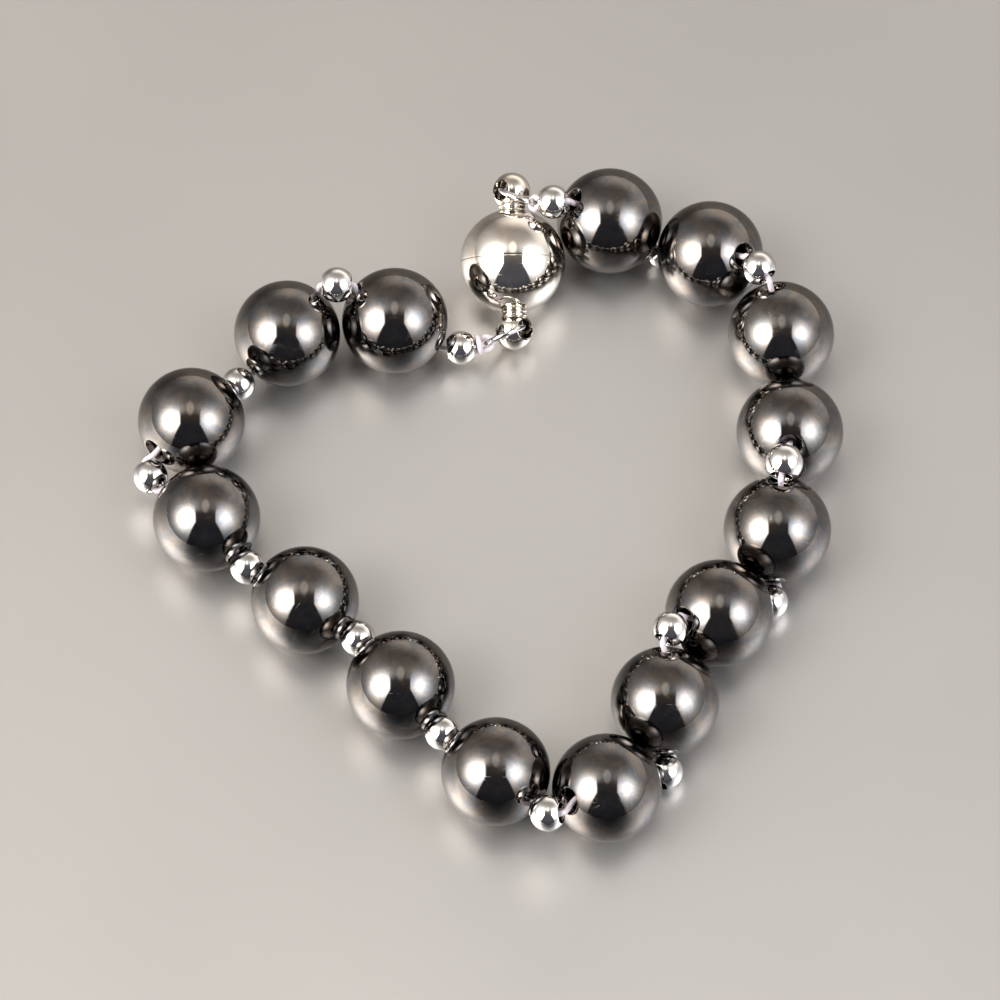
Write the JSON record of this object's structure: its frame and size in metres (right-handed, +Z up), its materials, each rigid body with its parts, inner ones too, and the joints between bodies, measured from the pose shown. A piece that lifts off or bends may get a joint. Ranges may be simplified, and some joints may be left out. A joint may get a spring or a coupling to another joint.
{
  "type": "hematite bead bracelet",
  "caption": "Round polished hematite beads with small metal spacer balls between them on one thread, closed into a wrist loop by a round magnetic clasp, lying on its side.",
  "frame": {"origin": "middle of the bracelet's box, on the surface that it lies on", "axes": "+Z up through the loop, +Y from the narrow end of the loop towards the clasp, +X to the right as seen from above"},
  "size_m": [0.0656, 0.0672, 0.0112],
  "materials": {
    "hematite": "mirror polish, dark metallic grey",
    "spacer_metal": "mirror polish",
    "clasp_metal": "mirror polish, slightly warm",
    "ring_metal": "mirror polish",
    "thread": "pale translucent elastic thread"
  },
  "bodies": {
    "root": {"bead_01": "hematite", "bead_02": "hematite", "bead_03": "hematite", "bead_04": "hematite", "bead_05": "hematite", "bead_06": "hematite", "bead_07": "hematite", "bead_08": "hematite", "bead_09": "hematite", "bead_10": "hematite", "bead_11": "hematite", "bead_12": "hematite", "bead_13": "hematite", "bead_14": "hematite", "bead_15": "hematite", "spacer_01": "spacer_metal", "spacer_02": "spacer_metal", "spacer_03": "spacer_metal", "spacer_04": "spacer_metal", "spacer_05": "spacer_metal", "spacer_06": "spacer_metal", "spacer_07": "spacer_metal", "spacer_08": "spacer_metal", "spacer_09": "spacer_metal", "spacer_10": "spacer_metal", "spacer_11": "spacer_metal", "spacer_12": "spacer_metal", "spacer_13": "spacer_metal", "spacer_14": "spacer_metal", "spacer_15": "spacer_metal", "spacer_16": "spacer_metal", "clasp_half_far": "clasp_metal", "clasp_half_near": "clasp_metal", "jump_ring_far": "ring_metal", "jump_ring_near": "ring_metal", "thread": "thread"}
  },
  "joints": []
}
